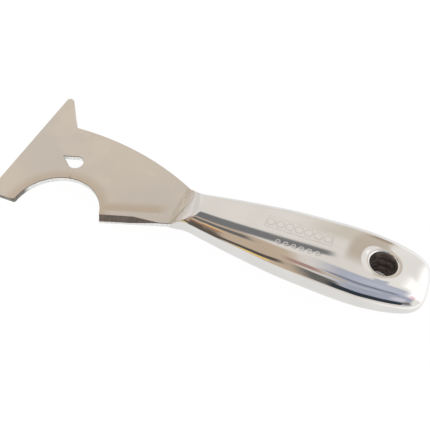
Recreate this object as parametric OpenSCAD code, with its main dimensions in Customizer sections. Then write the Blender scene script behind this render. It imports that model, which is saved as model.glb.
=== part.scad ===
// Hive tool: ground steel blade welded into a hollow pressed handle.
// Millimetres. The origin is on the axis of the hang hole, halfway through the handle.
// -X is the scraping edge, +X the butt, +Y the side with the barb, +Z the front face.

/* [Blade] */
// Thickness of the blade
blade_t = 2.6; // [2:0.1:3.2]
// Scraping edge to the foot of the neck weld
blade_l = 91.3; // [76:0.1:110]
// Length of the scraping edge, from tip to heel
edge_w = 75; // [70:0.5:90]
// Height of the tip above the middle line of the handle
tip_y = 48; // [42:0.5:58]
// Radius of the tip
tip_r = 1.8; // [1:0.2:3]
// Length of the bevel behind the scraping edge
bevel_l = 5; // [3:0.5:7]
// Flat left along the scraping edge
edge_land = 0.5; // [0.3:0.1:1]
// Depth of the barb, from the scraping edge to its inner corner
barb_l = 16.9; // [14:0.1:21]
// Height of the inner corner of the barb above the middle line
barb_y = 28.3; // [24:0.1:34]
// Width of the ground strip along the barb
barb_bevel = 2.5; // [1:0.1:3.5]
// Radius of the curved back of the blade
spine_r = 151; // [125:1:185]

/* [Roller notch] */
// Radius of the notch
notch_r = 22; // [18:0.5:24]
// Centre of the notch from the scraping edge
notch_x = 36.5; // [35:0.5:44]
// Centre of the notch below the middle line
notch_y = 26.4; // [24:0.1:32]
// Angle round the notch at which its end turns straight towards the lower edge
notch_end = 25; // [20:1:35]
// Length of that straight end
notch_flank = 5.6; // [4.5:0.1:7]
// Width of the ground strip along the lower edge
lower_bevel = 3.5; // [1:0.1:4]
// Share of the lower edge that the ground strip runs along
strip_run = 0.85; // [0.6:0.05:0.9]
// Slope of the ground strips
strip_angle = 21; // [15:1:25]

/* [Nail slot] */
// Radius of the round end of the slot
slot_r = 3.9; // [3:0.1:4.8]
// Centre of the round end from the scraping edge
slot_x = 29.6; // [27:0.1:36]
// Centre of the round end above the middle line
slot_y = 5.9; // [5:0.1:8]
// Half of the angle at the pointed end
slot_angle = 28; // [25:1:40]
// Turn of the slot from the length of the tool
slot_tilt = 11; // [0:1:15]

/* [Handle] */
// Foot of the neck weld to the butt
handle_l = 117.5; // [98:0.5:141]
// Butt to the axis of the hang hole
hang_inset = 21; // [18:0.5:25]
// Greatest width
handle_w = 37.7; // [31:0.1:46]
// Greatest thickness
handle_t = 19.6; // [17:0.2:24]
// Width at the neck, where it is narrowest
neck_w = 20.6; // [18:0.1:24]
// Thickness at the neck
neck_t = 14.3; // [12:0.1:17]
// Length of the rounding at the butt
butt_l = 27; // [22:0.5:33]
// Wall of the pressed shells
wall = 1.2; // [1:0.1:1.6]
// Depth of the groove for the seam weld
seam_d = 0.8; // [0.6:0.1:0.9]

/* [Neck] */
// Length of the full-width blade between the shells
shoulder_l = 3; // [2.5:0.5:5]
// Length of the stub tang past the shoulder
tang_l = 14; // [10:0.5:20]
// Width of the stub tang
tang_w = 14; // [10:0.5:15]
// Slope of the ground weld ramp
ramp_angle = 29.5; // [20:0.1:32]
// Depth of the weld under the ramp
neck_weld_d = 2.4; // [1.6:0.1:3]

/* [Hang hole] */
// Bore of the sleeve
hang_bore = 12; // [10:0.5:14]
// Wall of the sleeve
sleeve_wall = 1.2; // [1:0.1:1.5]
// Width of the ring weld round the sleeve
ring_weld_w = 1.6; // [1:0.1:2]
// Radius of the sleeve's lip
lip_r = 0.8; // [0.4:0.1:1]

/* [Hidden] */
$fn = 96;
far = 200;

// Places along the handle
neck_x = hang_inset - handle_l;
edge_x = neck_x - blade_l;
shoulder_x = neck_x + shoulder_l;
tang_x = shoulder_x + tang_l;
butt_x = hang_inset - butt_l;

// Shape of the handle: how far along it, and the share of the rise from neck to greatest
// width and greatest thickness
STATIONS = [[0, 0.15, -0.13], [0.05, 0, 0], [0.14, 0.18, 0.26], [0.23, 0.39, 0.52],
            [0.33, 0.59, 0.76], [0.44, 0.79, 0.92], [0.55, 0.9, 1], [0.67, 0.99, 0.96],
            [0.76, 1, 0.77], [0.82, 0.92, 0.62], [0.92, 0.77, 0.28], [1, 0.77, 0.02]];
squareness = 2.4;
butt_squareness = 3.45;
butt_sweep = 85;
side_rings = 26;
butt_rings = 9;
arc_steps = 20;
round_steps = 8;
curve_steps = 24;

// How far the cuts at the neck run past it, towards the blade and towards the butt
neck_past = 10;
ramp_run = 60;
ramp_slope = tan(ramp_angle);
// How far the cut behind the scraping edge runs past the faces of the blade
bevel_past = 1;

// Smooth curve through one column of the stations
function gap_of(s, i=0) = i == len(STATIONS) - 2 || s < STATIONS[i + 1][0] ? i : gap_of(s, i + 1);
function slope_at(i, c) =
    let (a = STATIONS[max(i - 1, 0)], b = STATIONS[min(i + 1, len(STATIONS) - 1)])
    (b[c] - a[c]) / (b[0] - a[0]);
function rise(s, c) =
    let (i = gap_of(s), a = STATIONS[i], b = STATIONS[i + 1], d = b[0] - a[0], t = (s - a[0]) / d)
    (1 + 2 * t) * pow(1 - t, 2) * a[c] + t * pow(1 - t, 2) * d * slope_at(i, c)
    + t * t * (3 - 2 * t) * b[c] - t * t * (1 - t) * d * slope_at(i + 1, c);
function along(x) = (x - neck_x) / handle_l;
function half_w(x) = (neck_w + (handle_w - neck_w) * rise(along(x), 1)) / 2;
function half_t(x) = (neck_t + (handle_t - neck_t) * rise(along(x), 2)) / 2;

// Rings of the handle as [x, half width, half thickness], from the mouth to the butt
function butt_ring(a) =
    let (x = butt_x + butt_l * pow(sin(a), 2 / butt_squareness), c = pow(cos(a), 2 / butt_squareness))
    [x, half_w(x) * c, half_t(x) * c];
RINGS = concat([for (i = [0:side_rings - 1])
                    let (x = neck_x - 1 + (butt_x - neck_x + 1) * i / side_rings)
                    [x, half_w(x), half_t(x)]],
               [for (i = [0:butt_rings]) butt_ring(butt_sweep * i / butt_rings)]);
LAST = len(RINGS) - 1;

// Slope of a column of the rings, and the same rings drawn in by a depth
function unit_out(i, c) =
    let (a = RINGS[max(i - 1, 0)], b = RINGS[min(i + 1, LAST)], dx = b[0] - a[0], dr = b[c] - a[c])
    i == 0 ? [0, 1] : i == LAST ? [1, 0] : [-dr, dx] / norm([dx, dr]);
function drawn_in(i, depth) =
    [RINGS[i][0] - depth * unit_out(i, 1)[0],
     RINGS[i][1] - depth * unit_out(i, 1)[1],
     RINGS[i][2] - depth * unit_out(i, 2)[1]];

// Half section of a ring, from one side over the top to the other, starting at a height
function section(ring, lift) =
    let (a = asin(pow(lift / ring[2], squareness / 2)))
    [for (k = [0:arc_steps])
        let (q = a + (180 - 2 * a) * k / arc_steps, c = cos(q))
        [ring[0], ring[1] * sign(c) * pow(abs(c), 2 / squareness),
         ring[2] * pow(sin(q), 2 / squareness)]];
function seam_root(i) = let (r = drawn_in(i, seam_d)) [r[0], r[1], 0];
function mirror_y(p) = [p[0], -p[1], p[2]];
// Half of the seam weld's face, which is as wide as the groove is deep
seam_h = seam_d;

// Quads between rings of points that all have the same number of points, split in triangles
function skin(rows, n) =
    [for (i = [0:rows - 2], k = [0:n - 1])
        let (a = i * n + k, b = i * n + (k + 1) % n)
        each [[a, a + n, b], [b, a + n, b + n]]];
// Triangles from a middle point to a run of points, in order or reversed
function fan(middle, from, to) =
    [for (k = [0:abs(to - from) - 1])
        let (a = from < to ? from + k : from - k, b = from < to ? a + 1 : a - 1) [middle, a, b]];

// Half of the hollow handle before its cuts
module half_shell() {
    turn = arc_steps + 1;
    per_ring = 2 * turn + 2;
    rings = [for (i = [0:LAST])
        each concat(section(RINGS[i], seam_h), [mirror_y(seam_root(i))],
                    [for (k = [0:arc_steps]) section(drawn_in(i, wall), 0)[arc_steps - k]],
                    [seam_root(i)])];
    base = LAST * per_ring;
    outer_middle = len(rings);
    inner_middle = outer_middle + 1;
    butt = RINGS[LAST];
    mouth = concat([for (k = [0:arc_steps - 1])
                       let (o = k, i = per_ring - 2 - k) each [[o, o + 1, i], [i, o + 1, i - 1]]],
                   [[0, per_ring - 2, per_ring - 1], [arc_steps, turn, turn + 1]]);
    cap = concat(fan(outer_middle, base + arc_steps, base),
                 fan(inner_middle, base + per_ring - 2, base + turn + 1),
                 [[outer_middle, base, base + arc_steps],
                  [inner_middle, base + turn + 1, base + per_ring - 2]],
                 [for (q = [[0, per_ring - 1, turn, arc_steps],
                            [per_ring - 1, per_ring - 2, turn + 1, turn]])
                     each [[base + q[0], base + q[1], base + q[2]],
                           [base + q[0], base + q[2], base + q[3]]]]);
    polyhedron(points = concat(rings, [[butt[0], 0, butt[2] / 2], [butt[0] - wall, 0, butt[2] / 4]]),
               faces = concat(skin(LAST + 1, per_ring), mouth, cap));
}

// The space inside half of the handle near the neck
module neck_cavity() {
    turn = arc_steps + 1;
    count = round(side_rings / 2);
    polyhedron(points = [for (i = [0:count]) each section(drawn_in(i, wall), 0)],
               faces = concat(skin(count + 1, turn), fan(0, 1, arc_steps),
                              fan(count * turn, count * turn + arc_steps, count * turn + 1)));
}

// An outline in the X and Z directions, drawn out evenly to both sides
module side_prism(outline, width) {
    translate([0, width / 2, 0]) rotate([90, 0, 0]) linear_extrude(width) polygon(outline);
}

// Everything above the ground ramp on the front
module above_ramp() {
    top = blade_t / 2 + ramp_run * ramp_slope;
    side_prism([[neck_x - neck_past, blade_t / 2 - neck_past * ramp_slope], [neck_x + ramp_run, top],
                [neck_x - neck_past, top]], far);
}

// Room for the full-width neck of the blade between the shells
module neck_slot() {
    translate([neck_x - neck_past, -far / 2, -blade_t / 2])
        cube([neck_past + shoulder_l, far, blade_t]);
}

hole_r = hang_bore / 2 + sleeve_wall + ring_weld_w;
// Height of the handle's face at the low side of the ring weld
rim_z = half_t(hole_r) * pow(1 - pow((hole_r - butt_x) / butt_l, butt_squareness), 1 / butt_squareness);

module shell() {
    difference() {
        half_shell();
        above_ramp();
        neck_slot();
        cylinder(h = far, r = hole_r);
    }
}

module front_shell() color([0.80, 0.78, 0.76]) shell();

module rear_shell() color([0.80, 0.78, 0.76]) mirror([0, 0, 1]) shell();

// Bead that fills the groove between the shells, round the butt from neck to neck
module seam_weld() {
    first = len([for (r = RINGS) if (r[0] < shoulder_x) r]);
    start = [shoulder_x, half_w(shoulder_x), half_t(shoulder_x)];
    rings = concat([start], [for (i = [first:LAST]) RINGS[i]]);
    roots = concat([[shoulder_x, half_w(shoulder_x) - seam_d, 0]],
                   [for (i = [first:LAST]) seam_root(i)]);
    side = [for (i = [0:len(rings) - 1])
        let (edge = section(rings[i], seam_h)[0])
        [edge, [rings[i][0], rings[i][1], 0], [edge[0], edge[1], -seam_h], roots[i]]];
    other = [for (i = [len(side) - 1:-1:0]) [for (p = side[i]) mirror_y(p)]];
    rows = concat(side, other);
    last = 4 * len(rows) - 4;
    color([0.80, 0.78, 0.76])
        polyhedron(points = [for (r = rows) each r],
                   faces = concat(skin(len(rows), 4), [[0, 1, 3], [1, 2, 3]],
                                  [[last, last + 3, last + 1], [last + 1, last + 3, last + 2]]));
}

// Weld that closes the mouth of the front shell, under the ramp and on the blade
module neck_weld() {
    back = neck_weld_d / sin(ramp_angle);
    top = blade_t / 2 + ramp_run * ramp_slope;
    intersection() {
        neck_cavity();
        side_prism([[neck_x, blade_t / 2], [neck_x + ramp_run, top],
                    [neck_x + ramp_run + back, top], [neck_x + back, blade_t / 2]], far);
    }
}

module neck_weld_front() color([0.74, 0.71, 0.68]) neck_weld();

module neck_weld_rear() color([0.74, 0.71, 0.68]) mirror([0, 0, 1]) neck_weld();

// Points on a round stretch of an outline
function arc(centre, r, from, to, steps) =
    [for (i = [0:steps])
        let (a = from + (to - from) * i / steps) centre + r * [cos(a), sin(a)]];
// Centre of a curve of a given radius that bulges to the left of the way from p to q
function arc_centre(p, q, r) =
    let (d = q - p, h = sqrt(r * r - d * d / 4)) (p + q) / 2 + h * [d[1], -d[0]] / norm(d);
function angle_of(v) = atan2(v[1], v[0]);

heel_y = tip_y - edge_w;
barb_corner = [edge_x + barb_l, barb_y];
neck_corner = [shoulder_x, neck_w / 2];
notch_c = [edge_x + notch_x, -notch_y];
flank_start = notch_c + notch_r * [cos(notch_end), sin(notch_end)];
lower_start = flank_start + notch_flank * [sin(notch_end), -cos(notch_end)];
lower_corner = [shoulder_x, -neck_w / 2];

// The tip's round end touches the scraping edge and the straight back of the barb
tip_c = [edge_x + tip_r, tip_y - tip_r];
tip_end = angle_of(barb_corner - tip_c) + acos(tip_r / norm(barb_corner - tip_c));
barb_start = tip_c + tip_r * [cos(tip_end), sin(tip_end)];

module blade_outline() {
    spine_c = arc_centre(barb_corner, neck_corner, spine_r);
    difference() {
        polygon(concat(
            [[edge_x, heel_y]], arc(tip_c, tip_r, 180, tip_end, round_steps),
            arc(spine_c, spine_r, angle_of(barb_corner - spine_c), angle_of(neck_corner - spine_c),
                curve_steps),
            [[shoulder_x, tang_w / 2], [tang_x, tang_w / 2], [tang_x, -tang_w / 2],
             [shoulder_x, -tang_w / 2], lower_corner, lower_start, flank_start,
             [notch_c[0], heel_y]]));
        translate(notch_c) circle(notch_r);
        nail_slot();
    }
}

module nail_slot() {
    side = 90 + slot_angle;
    translate([edge_x + slot_x, slot_y]) rotate(-slot_tilt)
        polygon(concat([[-slot_r / sin(slot_angle), 0]], arc([0, 0], slot_r, -side, side, curve_steps)));
}

// Flat cut that slopes down to an edge of the front face, from full width at the edge's start
// to nothing at its end, with the blade on the left of the edge (side 1) or the right (side -1)
module ground_strip(start, end, width, side) {
    length = norm(end - start);
    translate([start[0], start[1], blade_t / 2]) rotate([0, 0, angle_of(end - start)])
        mirror([0, side < 0 ? 1 : 0, 0])
            translate([length, 0, 0]) rotate([0, 0, 180 - atan(width / length)])
                rotate([-strip_angle, 0, 0]) cube([length + 3 * width, 3 * width, blade_t]);
}

module blade() {
    run = bevel_past * bevel_l / (blade_t - edge_land);
    low = -blade_t / 2 - bevel_past;
    color([0.76, 0.73, 0.69])
        difference() {
            translate([0, 0, -blade_t / 2]) linear_extrude(blade_t) blade_outline();
            // Bevel behind the scraping edge
            side_prism([[edge_x - run, low], [edge_x + bevel_l + run, low],
                        [edge_x - run, blade_t / 2 - edge_land + bevel_past]], far);
            ground_strip(barb_start, barb_corner, barb_bevel, -1);
            ground_strip(lower_start, lower_start + strip_run * (lower_corner - lower_start),
                         lower_bevel, 1);
        }
}

// Ring round the hang hole from a half section of [radius, height] points
module hang_ring(half_section) {
    rotate_extrude() polygon(half_section);
}

module hang_sleeve() {
    bore_r = hang_bore / 2;
    color([0.66, 0.62, 0.58])
        hang_ring(concat(arc([bore_r + lip_r, rim_z - lip_r], lip_r, 180, 90, round_steps),
                         [[bore_r + sleeve_wall, rim_z], [bore_r + sleeve_wall, -rim_z]],
                         arc([bore_r + lip_r, lip_r - rim_z], lip_r, 270, 180, round_steps)));
}

module sleeve_weld() {
    inner_r = hang_bore / 2 + sleeve_wall;
    foot_z = rim_z - wall - seam_d;
    color([0.78, 0.76, 0.73])
        hang_ring([[inner_r, foot_z], [hole_r, foot_z], [hole_r, rim_z], [inner_r, rim_z]]);
}

module sleeve_weld_front() sleeve_weld();

module sleeve_weld_rear() mirror([0, 0, 1]) sleeve_weld();

blade();
front_shell();
rear_shell();
seam_weld();
neck_weld_front();
neck_weld_rear();
hang_sleeve();
sleeve_weld_front();
sleeve_weld_rear();
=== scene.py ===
"""Hive tool: ground steel blade welded into a hollow polished handle."""

import math

import bmesh
import bpy
from bpy.props import FloatProperty, FloatVectorProperty, PointerProperty
from mathutils import Matrix, Vector


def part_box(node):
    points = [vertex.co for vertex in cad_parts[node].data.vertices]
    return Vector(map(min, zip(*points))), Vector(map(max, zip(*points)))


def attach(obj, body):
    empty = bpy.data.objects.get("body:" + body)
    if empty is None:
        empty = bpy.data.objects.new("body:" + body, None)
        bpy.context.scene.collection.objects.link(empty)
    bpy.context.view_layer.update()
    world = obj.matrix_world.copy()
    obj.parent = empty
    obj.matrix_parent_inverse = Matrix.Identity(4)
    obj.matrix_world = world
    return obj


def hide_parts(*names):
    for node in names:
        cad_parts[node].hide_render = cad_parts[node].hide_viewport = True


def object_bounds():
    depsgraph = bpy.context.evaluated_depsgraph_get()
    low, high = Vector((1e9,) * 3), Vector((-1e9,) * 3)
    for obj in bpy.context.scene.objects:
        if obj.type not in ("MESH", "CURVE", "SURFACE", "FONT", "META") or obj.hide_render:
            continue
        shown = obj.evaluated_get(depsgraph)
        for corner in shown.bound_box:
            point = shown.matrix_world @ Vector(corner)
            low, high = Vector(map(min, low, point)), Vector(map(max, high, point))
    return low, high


bl_info = {
    "name": "Hive Tool",
    "version": (1, 0, 0),
    "blender": (4, 5, 0),
    "location": "3D View > Sidebar > Hive Tool",
    "description": "Builds a hive tool with a ground blade and a hollow polished handle",
    "category": "Add Mesh",
}

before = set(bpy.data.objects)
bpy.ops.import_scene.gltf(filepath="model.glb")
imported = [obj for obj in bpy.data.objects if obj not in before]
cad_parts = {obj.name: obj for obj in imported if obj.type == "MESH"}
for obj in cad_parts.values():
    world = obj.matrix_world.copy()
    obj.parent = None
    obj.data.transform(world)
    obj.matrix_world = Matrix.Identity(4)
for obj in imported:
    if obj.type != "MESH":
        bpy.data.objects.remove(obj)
CAD_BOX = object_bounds()

MM = 0.001
BODY = "root"
# Vertices nearer than this are merged
MERGE = 0.002 * MM

BLADE_LOW, BLADE_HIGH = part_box("blade")
SHELL_LOW, SHELL_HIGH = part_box("front_shell")
SLEEVE_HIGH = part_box("hang_sleeve")[1]
RING_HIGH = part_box("sleeve_weld_front")[1]
SEAM_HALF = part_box("seam_weld")[1].z

EDGE_X = BLADE_LOW.x
TANG_X = BLADE_HIGH.x
BLADE_HALF = BLADE_HIGH.z
NECK_X = SHELL_LOW.x
BUTT_X = SHELL_HIGH.x

# How far along the handle, and the share of the rise from the neck to the greatest width
# and to the greatest thickness
STATIONS = (
    (0, 0.15, -0.13),
    (0.05, 0, 0),
    (0.14, 0.18, 0.26),
    (0.23, 0.39, 0.52),
    (0.33, 0.59, 0.76),
    (0.44, 0.79, 0.92),
    (0.55, 0.9, 1),
    (0.67, 0.99, 0.96),
    (0.76, 1, 0.77),
    (0.82, 0.92, 0.62),
    (0.92, 0.77, 0.28),
    (1, 0.77, 0.02),
)


# Sizes and colours

def length(name, description, default_mm):
    """A length property whose default is given in millimetres."""
    return FloatProperty(name=name, description=description, default=default_mm * MM,
                         unit="LENGTH", precision=4)


def angle(name, description, degrees):
    """An angle property whose default is given in degrees."""
    return FloatProperty(name=name, description=description, default=math.radians(degrees),
                         unit="ROTATION")


def share(name, description, default):
    """A plain number between nothing and one."""
    return FloatProperty(name=name, description=description, default=default,
                         min=0, max=1, subtype="FACTOR")


def colour(name, description, default):
    """A linear colour."""
    return FloatVectorProperty(name=name, description=description, default=default,
                               min=0, max=1, size=3, subtype="COLOR")


class BladeSizes(bpy.types.PropertyGroup):
    """Sizes of the blade that its box doesn't give."""

    tip_r: length("Tip radius", "Radius of the tip", 1.8)
    heel_r: length("Heel radius", "Radius of the corner between heel and notch", 1.2)
    barb_l: length("Barb depth", "From the scraping edge to the barb's inner corner", 16.9)
    barb_y: length("Barb corner", "Height of the barb's inner corner", 28.3)
    spine_r: length("Spine radius", "Radius of the curved back", 151)
    notch_r: length("Notch radius", "Radius of the roller notch", 22)
    notch_x: length("Notch centre", "From the scraping edge to the notch centre", 36.5)
    notch_y: length("Notch drop", "Depth of the notch centre below the middle line", 26.4)
    notch_end: angle("Notch end", "Where the notch turns straight towards the lower edge", 25)
    notch_flank: length("Notch flank", "Length of the straight end of the notch", 5.6)
    slot_r: length("Slot radius", "Radius of the round end of the nail slot", 3.9)
    slot_x: length("Slot place", "From the scraping edge to the slot's round centre", 29.6)
    slot_y: length("Slot height", "Height of the slot's round centre", 5.9)
    slot_angle: angle("Slot point", "Half of the angle at the slot's point", 28)
    slot_tilt: angle("Slot turn", "Turn of the slot from the length of the tool", 11)
    shoulder_l: length("Shoulder", "Full-width blade between the shells", 3)
    neck_half: length("Neck half width", "Half width of the blade at the shells", 10.3)
    tang_half: length("Tang half width", "Half width of the stub tang", 7)
    bevel_l: length("Edge bevel", "Length of the bevel behind the scraping edge", 5)
    edge_land: length("Edge land", "Flat left along the scraping edge", 0.5)
    barb_strip: length("Barb strip", "Width of the ground strip along the barb", 2.5)
    lower_strip: length("Lower strip", "Width of the ground strip on the lower edge", 3.4)
    strip_angle: angle("Strip slope", "Slope of the ground strips", 21)
    rolled: length("Rolled edge", "Radius of the rolled edges", 0.3)


class HandleSizes(bpy.types.PropertyGroup):
    """Sizes of the handle that its box doesn't give."""

    neck_w: length("Neck width", "Width where the handle is narrowest", 20.6)
    neck_t: length("Neck thickness", "Thickness where the handle is narrowest", 14.3)
    thick: length("Thickness", "Greatest thickness", 19.6)
    butt_l: length("Butt rounding", "Length of the rounding at the butt", 27)
    wall: length("Wall", "Wall of the pressed shells", 1.2)
    ramp_angle: angle("Ramp slope", "Slope of the ground weld ramp", 29.5)
    ramp_foot: length("Ramp foot", "Softness of the ramp's foot on the blade", 0.55)
    ramp_crown: length("Ramp crown", "Softness of the ramp's upper end", 0.7)
    stamp_depth: length("Stamp depth", "Depth of the stamped pattern", 0.012)


class HangHoleSizes(bpy.types.PropertyGroup):
    """Sizes of the hang hole."""

    bore_r: length("Bore radius", "Radius of the sleeve's bore", 6)
    lip_r: length("Lip radius", "Radius of the sleeve's rolled lip", 0.8)
    dimple_r: length("Dimple radius", "Where the handle starts to dip to the hole", 9.9)


class Finishes(bpy.types.PropertyGroup):
    """Colours of the steel."""

    polished: colour("Polished steel", "Handle, seam and ring welds", (0.80, 0.785, 0.765))
    blade: colour("Blade steel", "Satin face of the blade", (0.715, 0.65, 0.565))
    # Painted reflection: the tan that the face shows near the notch and along the lower edge
    reflection_tan: colour("Painted reflection tan", "Tan tint near the notch and the lower edge", (0.60, 0.50, 0.395))
    blade_grey: colour("Rolling shade", "Greyer patches of the blade", (0.67, 0.62, 0.56))
    # Painted reflection: the strip's dark colour stands for a dark reflection; the strip is also ground
    # coarser and rougher
    strip: colour("Ground strip", "Coarse strip on the lower edge", (0.225, 0.205, 0.185))
    weld: colour("Ground weld", "Ramp of ground weld", (0.88, 0.875, 0.86))
    # Painted shade: the bore's dark brown stands for the shade inside the hole
    bore: colour("Bore", "Painted shade inside the sleeve", (0.20, 0.165, 0.145))


class StudioSettings(bpy.types.PropertyGroup):
    """Camera and light."""

    azimuth: angle("Azimuth", "Turn of the camera round the tool", 22.905)
    elevation: angle("Elevation", "Height of the camera above the floor", 52.269)
    roll: angle("Roll", "Turn of the camera about its own axis", -0.416)
    distance: length("Distance", "Camera to its target", 266.307)
    target_x: length("Target X", "Where the camera looks", -79.539)
    target_y: length("Target Y", "Where the camera looks", 2.398)
    lens: FloatProperty(name="Lens", description="Focal length in millimetres", default=46.724)
    floor_veil: share("Floor veil", "How much of the floor is plain white to the eye", 0.93)


# Shape of the handle

def sizes(name):
    """One of the groups of sizes, on the scene."""
    return getattr(bpy.context.scene, name)


def station_slope(index, column):
    """Slope of a column of the stations."""
    before = STATIONS[max(index - 1, 0)]
    after = STATIONS[min(index + 1, len(STATIONS) - 1)]
    return (after[column] - before[column]) / (after[0] - before[0])


def rise(s, column):
    """Smooth curve through one column of the stations."""
    index = 0
    while index < len(STATIONS) - 2 and s >= STATIONS[index + 1][0]:
        index += 1
    low, high = STATIONS[index], STATIONS[index + 1]
    gap = high[0] - low[0]
    t = (s - low[0]) / gap
    return ((1 + 2 * t) * (1 - t) ** 2 * low[column]
            + t * (1 - t) ** 2 * gap * station_slope(index, column)
            + t * t * (3 - 2 * t) * high[column]
            - t * t * (1 - t) * gap * station_slope(index + 1, column))


# Powers of the rounded sections and of the butt's rounding, and how far that rounding runs
SQUARENESS = 2.4
# Slope of the hang hole's lip, which leans with the face
LIP_SLOPE = 0.055
# How fast the skin narrows where it runs on into the blade at the neck
NECK_NARROWING = 0.55
BUTT_SQUARENESS = 3.45
BUTT_SWEEP = math.radians(85)


def butt_start():
    return BUTT_X - sizes("hive_handle").butt_l


def closing(x):
    """Share of the full section that is left at a place on the rounding of the butt."""
    run = max(0.0, (x - butt_start()) / butt_reach())
    return max(0.0, 1 - run ** BUTT_SQUARENESS) ** (1 / BUTT_SQUARENESS)


def butt_reach():
    """Length that the butt's curve would have if it weren't cut flat at its end."""
    return sizes("hive_handle").butt_l / math.sin(BUTT_SWEEP) ** (2 / BUTT_SQUARENESS)


def half_sizes(x):
    """Half width and half thickness of the handle at a place along it."""
    handle = sizes("hive_handle")
    if x < NECK_X:
        half_w, half_t = half_sizes(NECK_X)
        return half_w + (x - NECK_X) * NECK_NARROWING, half_t
    s = (x - NECK_X) / (BUTT_X - NECK_X)
    width = handle.neck_w + (2 * SHELL_HIGH.y - handle.neck_w) * rise(s, 1)
    thick = handle.neck_t + (handle.thick - handle.neck_t) * rise(s, 2)
    left = closing(x)
    return width / 2 * left, thick / 2 * left


def handle_height(x, y):
    """Height of the handle's face over a point, with no cuts."""
    half_w, half_t = half_sizes(x)
    inside = 1 - abs(y / half_w) ** SQUARENESS
    return half_t * max(0.0, inside) ** (1 / SQUARENESS)


def half_width_at(x, z):
    """Half width of the handle at a height."""
    half_w, half_t = half_sizes(x)
    inside = 1 - abs(z / half_t) ** SQUARENESS
    return half_w * max(0.0, inside) ** (1 / SQUARENESS)


def ramp_height(x):
    """Height of the ground ramp, with its soft foot on the blade."""
    handle = sizes("hive_handle")
    run = x - NECK_X
    soft = handle.ramp_foot
    if run > 30 * soft:
        lifted = run
    else:
        lifted = soft * math.log(1 + math.exp(run / soft))
    return BLADE_HALF + math.tan(handle.ramp_angle) * lifted


def smooth_least(a, b, soft):
    """The lesser of two heights, with a soft change from one to the other."""
    share_a = min(1.0, max(0.0, 0.5 + 0.5 * (b - a) / soft))
    return b + (a - b) * share_a - soft * share_a * (1 - share_a)


def smoothstep(low, high, value):
    t = min(1.0, max(0.0, (value - low) / (high - low)))
    return t * t * (3 - 2 * t)


def ramp_top():
    """Place along the handle where the ramp reaches the crown of the handle."""
    x = NECK_X
    while ramp_height(x) < half_sizes(x)[1]:
        x += 0.1 * MM
    return x


def dimple(x, y):
    """How far the face dips to the hang hole, from 0 outside it to 1 at the lip."""
    hole = sizes("hive_hole")
    return 1 - smoothstep(hole.bore_r + hole.lip_r, hole.dimple_r, math.hypot(x, y))


def lip_height(x):
    """Height of the hang hole's lip, which leans with the handle's face."""
    return SLEEVE_HIGH.z + LIP_SLOPE * (RING_HIGH.x - x)


def face_height(x, y):
    """Height of the handle's face with its dip to the hang hole."""
    plain = handle_height(x, y)
    return plain + (lip_height(x) - plain) * dimple(x, y)


# Mesh helpers

def finish_piece(name, bm, materials, nodes, smooth_angle=35):
    """Makes an object of a mesh, with its finish, its body and the CAD nodes it stands for."""
    bmesh.ops.remove_doubles(bm, verts=bm.verts, dist=MERGE)
    mesh = bpy.data.meshes.new(name)
    for edge in bm.edges:
        edge.smooth = (len(edge.link_faces) == 2
                       and edge.calc_face_angle(0) < math.radians(smooth_angle))
    bm.to_mesh(mesh)
    bm.free()
    piece = bpy.data.objects.new(name, mesh)
    bpy.context.scene.collection.objects.link(piece)
    for material in materials:
        mesh.materials.append(material)
    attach(piece, BODY)
    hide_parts(*nodes)
    return piece


def loft(bm, segments, rings):
    """Skins a run of rings. Each ring is a function from a share of a turn to a point."""
    start = bmesh.ops.create_circle(bm, segments=segments, radius=1)["verts"]
    turn = {v: i / segments for i, v in enumerate(start)}
    edges = list({e for v in start for e in v.link_edges})
    for vert in start:
        vert.co = rings[0](turn[vert])
    for ring in rings[1:]:
        made = bmesh.ops.extrude_edge_only(bm, edges=edges)["geom"]
        new = [g for g in made if isinstance(g, bmesh.types.BMVert)]
        edges = [g for g in made if isinstance(g, bmesh.types.BMEdge)]
        fresh = {}
        for vert in new:
            old = next(e.other_vert(vert) for e in vert.link_edges if e.other_vert(vert) in turn)
            fresh[vert] = turn[old]
        for vert, place in fresh.items():
            vert.co = ring(place)
        turn = fresh
    return edges


def section_point(x, place):
    """Point of the handle's skin at a place along it and a share of the turn round it."""
    half_w, half_t = half_sizes(x)
    c, s = math.cos(math.tau * place), math.sin(math.tau * place)
    reach = (abs(c / half_w) ** SQUARENESS + abs(s / half_t) ** SQUARENESS) ** (-1 / SQUARENESS)
    return Vector((x, reach * c, reach * s))


def carved_point(x, place, crown_x):
    """Point of the skin with the ramps, the dips to the hang hole and the stamped pattern."""
    point = section_point(x, place)
    side = math.copysign(1, point.z)
    height = abs(point.z)
    handle = sizes("hive_handle")
    near = math.exp(-((x - crown_x) / (4 * MM)) ** 2)
    soft = 0.12 * MM + handle.ramp_crown * near
    ramp = ramp_height(x)
    if ramp < height + soft:
        height = smooth_least(height, ramp, soft)
    if math.hypot(x, point.y) < sizes("hive_hole").dimple_r and height > SLEEVE_HIGH.z * 0.5:
        height = face_height(x, point.y)
    if side > 0:
        height -= stamp_line(x, point.y) * handle.stamp_depth
    return Vector((x, point.y, side * height))


STAMP_BOX = (-54.0 * MM, -23.2 * MM, -1.3 * MM, 5.1 * MM)
STAMP_LINE = 0.3 * MM
STAMP_CELLS = 7
STAMP_CELL_R = 1.75 * MM
STAMP_MARKS = 6
STAMP_MARK_R = 0.8 * MM
STAMP_MARK_X = (-45.5 * MM, -27.5 * MM)
STAMP_MARK_Y = -7.0 * MM


def hexagon_distance(x, y, radius):
    """Distance from the outline of a hexagon round the origin, less inside than outside."""
    reach = 0.0
    for k in range(3):
        turn = math.radians(30 + 60 * k)
        reach = max(reach, abs(x * math.cos(turn) + y * math.sin(turn)))
    return abs(reach - radius)


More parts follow.
